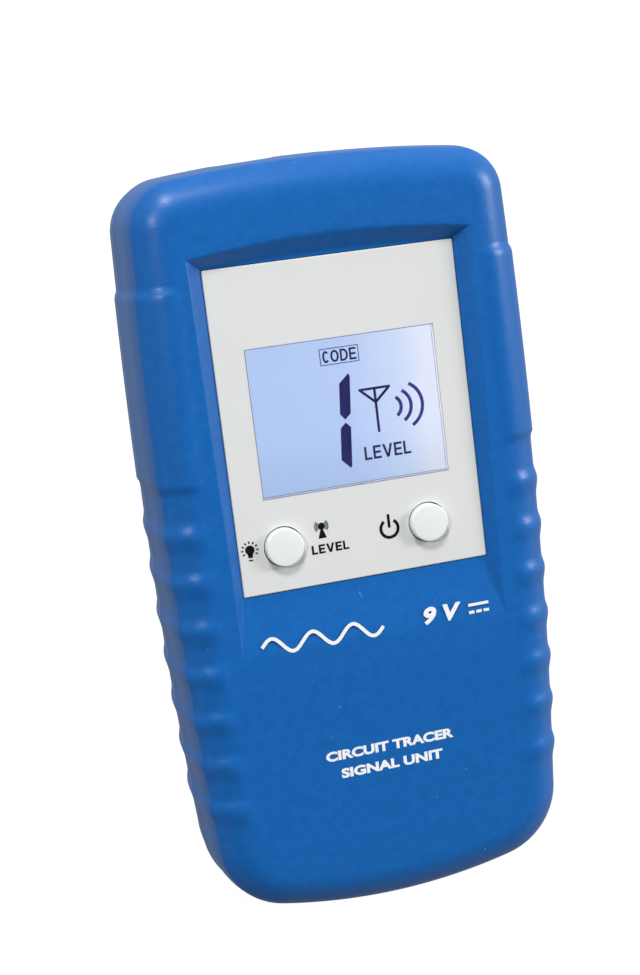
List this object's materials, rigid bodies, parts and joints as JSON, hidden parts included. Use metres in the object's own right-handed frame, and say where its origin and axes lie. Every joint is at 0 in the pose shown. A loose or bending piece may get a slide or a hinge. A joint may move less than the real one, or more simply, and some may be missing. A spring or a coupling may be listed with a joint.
{
  "type": "cable tracer transmitter",
  "caption": "Hand-held circuit breaker finder transmitter: blue two-shell case with ridged grips, recessed white fascia with display, round keys, end test sockets and a slide-off battery door.",
  "frame": {"origin": "under the middle of the flat back, on the surface the case lies on", "axes": "+Z out of the display face, +Y along the case toward the test-socket end, +X to the right of the display"},
  "size_m": [0.0684, 0.1308, 0.032],
  "materials": {
    "blue_case": "fine matte texture",
    "white_panel": "satin print",
    "white_plastic": "satin",
    "clear_window": "clear acrylic",
    "lcd_glass": "back-lit liquid crystal cell",
    "backlight": "light guide",
    "black_plastic": "satin",
    "red_plastic": "moulded",
    "yellow_plastic": "dipped",
    "circuit_board": "solder mask",
    "foam": "foam rubber",
    "steel": "plated",
    "brass": "turned",
    "copper": "enamelled winding",
    "ferrite": "sintered"
  },
  "bodies": {
    "case": {"front_case": "blue_case", "rear_case": "blue_case", "fascia_panel": "white_panel", "display_window": "clear_window", "lcd_glass": "lcd_glass", "lcd_frame": "white_plastic", "backlight_panel": "backlight", "backlight_led": "yellow_plastic", "zebra_strip": "foam", "level_switch_body": "steel", "power_switch_body": "steel", "main_board": "circuit_board", "transformer_core": "ferrite", "transformer_coil": "copper", "coupling_capacitor": "yellow_plastic", "filter_capacitor_1": "black_plastic", "filter_capacitor_2": "black_plastic", "control_chip": "black_plastic", "timing_crystal": "steel", "overload_disc": "yellow_plastic", "battery_block": "black_plastic", "battery_positive_stud": "steel", "battery_negative_stud": "steel", "battery_snap": "black_plastic", "battery_foam": "foam", "battery_lead_red": "red_plastic", "battery_lead_black": "black_plastic", "red_socket_housing": "red_plastic", "black_socket_housing": "black_plastic", "red_socket_sleeve": "brass", "black_socket_sleeve": "brass", "case_screw_1": "steel", "board_screw_1": "steel", "case_screw_2": "steel", "board_screw_2": "steel", "case_screw_3": "steel", "board_screw_3": "steel", "case_screw_4": "steel", "board_screw_4": "steel"},
    "level_key": {"level_button": "white_plastic", "level_switch_plunger": "black_plastic"},
    "power_key": {"power_button": "white_plastic", "power_switch_plunger": "black_plastic"},
    "door": {"battery_door": "blue_case"}
  },
  "joints": [
    {"name": "level_press", "type": "slide", "parent": "case", "child": "level_key", "axis": [0, 0, -1], "range_m": [0, 0.0005], "stiffness_N_per_m": 2500, "springref_m": -0.0002},
    {"name": "power_press", "type": "slide", "parent": "case", "child": "power_key", "axis": [0, 0, -1], "range_m": [0, 0.0005], "stiffness_N_per_m": 2500, "springref_m": -0.0002},
    {"name": "door_slide", "type": "slide", "parent": "case", "child": "door", "axis": [0, -1, 0], "range_m": [0, 0.056]}
  ]
}
